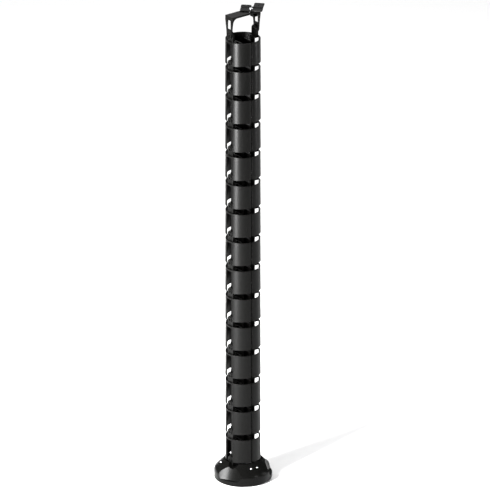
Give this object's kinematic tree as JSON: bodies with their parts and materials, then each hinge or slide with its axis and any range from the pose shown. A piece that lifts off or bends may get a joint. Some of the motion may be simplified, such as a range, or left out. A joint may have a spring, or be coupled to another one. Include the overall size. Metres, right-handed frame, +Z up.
{
  "type": "desk cable spine",
  "caption": "Vertical cable spine for a height-adjustable desk: hinged rings on a round weighted foot, with a yoke and a swivelling desk bracket on top.",
  "frame": {"origin": "under the middle of the round foot, on the floor", "axes": "+Z up the spine; X along the link pivots and the yoke's bar; Y across them, towards the cable slits"},
  "size_m": [0.152, 0.152, 1.3025],
  "materials": {
    "spine_black": "satin moulded",
    "foot_black": "gloss moulded",
    "ballast_steel": "black paint",
    "screw_steel": "zinc plated",
    "grip_rubber": "matt",
    "bracket_black": "powder coat"
  },
  "bodies": {
    "foot": {"foot_cover": "foot_black", "base_plate": "ballast_steel", "ballast_ring": "ballast_steel", "grip_ring": "grip_rubber", "neck_bracket": "spine_black", "base_screws": "screw_steel", "cover_screws": "screw_steel", "rivets_01": "spine_black", "vertebra_01": "spine_black"},
    "link_02": {"vertebra_02": "spine_black", "rivets_02": "spine_black"},
    "link_03": {"vertebra_03": "spine_black", "rivets_03": "spine_black"},
    "link_04": {"vertebra_04": "spine_black", "rivets_04": "spine_black"},
    "link_05": {"vertebra_05": "spine_black", "rivets_05": "spine_black"},
    "link_06": {"vertebra_06": "spine_black", "rivets_06": "spine_black"},
    "link_07": {"vertebra_07": "spine_black", "rivets_07": "spine_black"},
    "link_08": {"vertebra_08": "spine_black", "rivets_08": "spine_black"},
    "link_09": {"vertebra_09": "spine_black", "rivets_09": "spine_black"},
    "link_10": {"vertebra_10": "spine_black", "rivets_10": "spine_black"},
    "link_11": {"vertebra_11": "spine_black", "rivets_11": "spine_black"},
    "link_12": {"vertebra_12": "spine_black", "rivets_12": "spine_black"},
    "link_13": {"vertebra_13": "spine_black", "rivets_13": "spine_black"},
    "link_14": {"vertebra_14": "spine_black", "rivets_14": "spine_black"},
    "link_15": {"vertebra_15": "spine_black", "rivets_15": "spine_black"},
    "yoke": {"yoke": "spine_black", "swivel_bolt": "screw_steel", "swivel_washer": "screw_steel", "rivets_16": "spine_black"},
    "bracket": {"desk_bracket": "bracket_black"}
  },
  "joints": [
    {"name": "link_02_bend", "type": "hinge", "parent": "foot", "child": "link_02", "pos_m": [0, 0, 0.137], "axis": [1, 0, 0], "range_deg": [-12, 12]},
    {"name": "link_03_bend", "type": "hinge", "parent": "link_02", "child": "link_03", "pos_m": [0, 0, 0.216], "axis": [1, 0, 0], "range_deg": [-12, 12]},
    {"name": "link_04_bend", "type": "hinge", "parent": "link_03", "child": "link_04", "pos_m": [0, 0, 0.295], "axis": [1, 0, 0], "range_deg": [-12, 12]},
    {"name": "link_05_bend", "type": "hinge", "parent": "link_04", "child": "link_05", "pos_m": [0, 0, 0.374], "axis": [1, 0, 0], "range_deg": [-12, 12]},
    {"name": "link_06_bend", "type": "hinge", "parent": "link_05", "child": "link_06", "pos_m": [0, 0, 0.453], "axis": [1, 0, 0], "range_deg": [-12, 12]},
    {"name": "link_07_bend", "type": "hinge", "parent": "link_06", "child": "link_07", "pos_m": [0, 0, 0.532], "axis": [1, 0, 0], "range_deg": [-12, 12]},
    {"name": "link_08_bend", "type": "hinge", "parent": "link_07", "child": "link_08", "pos_m": [0, 0, 0.611], "axis": [1, 0, 0], "range_deg": [-12, 12]},
    {"name": "link_09_bend", "type": "hinge", "parent": "link_08", "child": "link_09", "pos_m": [0, 0, 0.69], "axis": [1, 0, 0], "range_deg": [-12, 12]},
    {"name": "link_10_bend", "type": "hinge", "parent": "link_09", "child": "link_10", "pos_m": [0, 0, 0.769], "axis": [1, 0, 0], "range_deg": [-12, 12]},
    {"name": "link_11_bend", "type": "hinge", "parent": "link_10", "child": "link_11", "pos_m": [0, 0, 0.848], "axis": [1, 0, 0], "range_deg": [-12, 12]},
    {"name": "link_12_bend", "type": "hinge", "parent": "link_11", "child": "link_12", "pos_m": [0, 0, 0.927], "axis": [1, 0, 0], "range_deg": [-12, 12]},
    {"name": "link_13_bend", "type": "hinge", "parent": "link_12", "child": "link_13", "pos_m": [0, 0, 1.006], "axis": [1, 0, 0], "range_deg": [-12, 12]},
    {"name": "link_14_bend", "type": "hinge", "parent": "link_13", "child": "link_14", "pos_m": [0, 0, 1.085], "axis": [1, 0, 0], "range_deg": [-12, 12]},
    {"name": "link_15_bend", "type": "hinge", "parent": "link_14", "child": "link_15", "pos_m": [0, 0, 1.164], "axis": [1, 0, 0], "range_deg": [-12, 12]},
    {"name": "yoke_bend", "type": "hinge", "parent": "link_15", "child": "yoke", "pos_m": [0, 0, 1.243], "axis": [1, 0, 0], "range_deg": [-12, 12]},
    {"name": "bracket_swivel", "type": "hinge", "parent": "yoke", "child": "bracket", "pos_m": [0.026, 0, 1.2972], "axis": [0, 0, 1], "range_deg": [-44, 136]}
  ]
}
